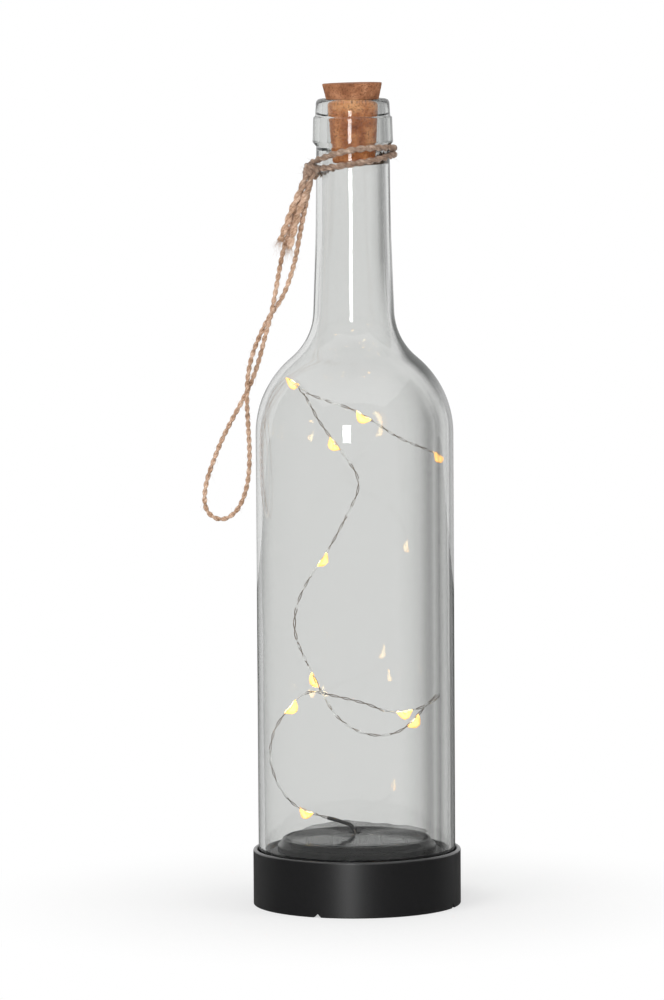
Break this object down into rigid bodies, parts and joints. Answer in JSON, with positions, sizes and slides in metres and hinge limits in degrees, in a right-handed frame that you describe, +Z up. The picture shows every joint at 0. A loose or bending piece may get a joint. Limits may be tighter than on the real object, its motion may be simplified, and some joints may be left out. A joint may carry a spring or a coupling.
{
  "type": "solar bottle light",
  "caption": "Clear bottle with a cork stopper on a round black base with a solar panel, lit inside by a wire of light drops, with a twine loop on its neck.",
  "frame": {"origin": "middle of the base's underside, on the surface that the bottle light stands on", "axes": "+Z up along the bottle's axis, -Y towards the front with the low notch, +X to the right seen from the front"},
  "size_m": [0.0966, 0.0784, 0.3101],
  "materials": {
    "clear_glass": "clear, faint green-grey, polished",
    "cork": "pressed cork, matt",
    "black_plastic": "moulded, fine satin",
    "silicone": "translucent silicone",
    "panel_board": "coated board, satin",
    "solar_cell": "dark cell under a gloss coat",
    "clear_film": "thin clear film, creased",
    "black_rubber": "soft, matt",
    "black_sleeve": "shrink sleeve, satin",
    "silver_wire": "bare silvery wire, bright",
    "light_drop": "clear resin lit warm white from inside",
    "steel": "plated",
    "battery_jacket": "shrink jacket, gloss",
    "spring_metal": "nickel plated",
    "circuit_board": "solder mask",
    "dark_component": "moulded",
    "switch_metal": "pressed sheet",
    "lead_insulation": "insulated lead",
    "jute_twine": "two-ply jute, hairy"
  },
  "bodies": {
    "light": {"bottle_glass": "clear_glass", "base_cup": "black_plastic", "glass_seat_ring": "silicone", "panel_tray": "black_plastic", "solar_board": "panel_board", "solar_cells": "solar_cell", "panel_film": "clear_film", "wire_grommet": "black_rubber", "wire_sleeve": "black_sleeve", "led_wire": "silver_wire", "bottom_cover": "black_plastic", "cover_screws": "steel", "battery_cell": "battery_jacket", "battery_plus_contact": "spring_metal", "battery_minus_contact": "spring_metal", "battery_spring": "spring_metal", "circuit_board": "circuit_board", "inductor": "dark_component", "driver_chip": "dark_component", "capacitor": "dark_component", "switch_body": "switch_metal", "panel_leads": "lead_insulation", "battery_leads": "lead_insulation", "twine_wraps": "jute_twine", "twine_knot": "jute_twine", "twine_loop": "jute_twine", "twine_long_tail": "jute_twine", "twine_short_tail": "jute_twine", "led_drop_01": "light_drop", "led_drop_02": "light_drop", "led_drop_03": "light_drop", "led_drop_04": "light_drop", "led_drop_05": "light_drop", "led_drop_06": "light_drop", "led_drop_07": "light_drop", "led_drop_08": "light_drop", "led_drop_09": "light_drop", "led_drop_10": "light_drop"},
    "cork": {"cork_stopper": "cork"},
    "door": {"battery_door": "black_plastic", "door_screw": "steel"},
    "knob": {"switch_knob": "black_plastic"}
  },
  "joints": [
    {"name": "cork_pull", "type": "slide", "parent": "light", "child": "cork", "axis": [0, 0, 1], "range_m": [0, 0.04]},
    {"name": "door_lift_off", "type": "slide", "parent": "light", "child": "door", "axis": [0, 0, -1], "range_m": [0, 0.02]},
    {"name": "switch_slide", "type": "slide", "parent": "light", "child": "knob", "axis": [1, 0, 0], "range_m": [0, 0.002]}
  ]
}
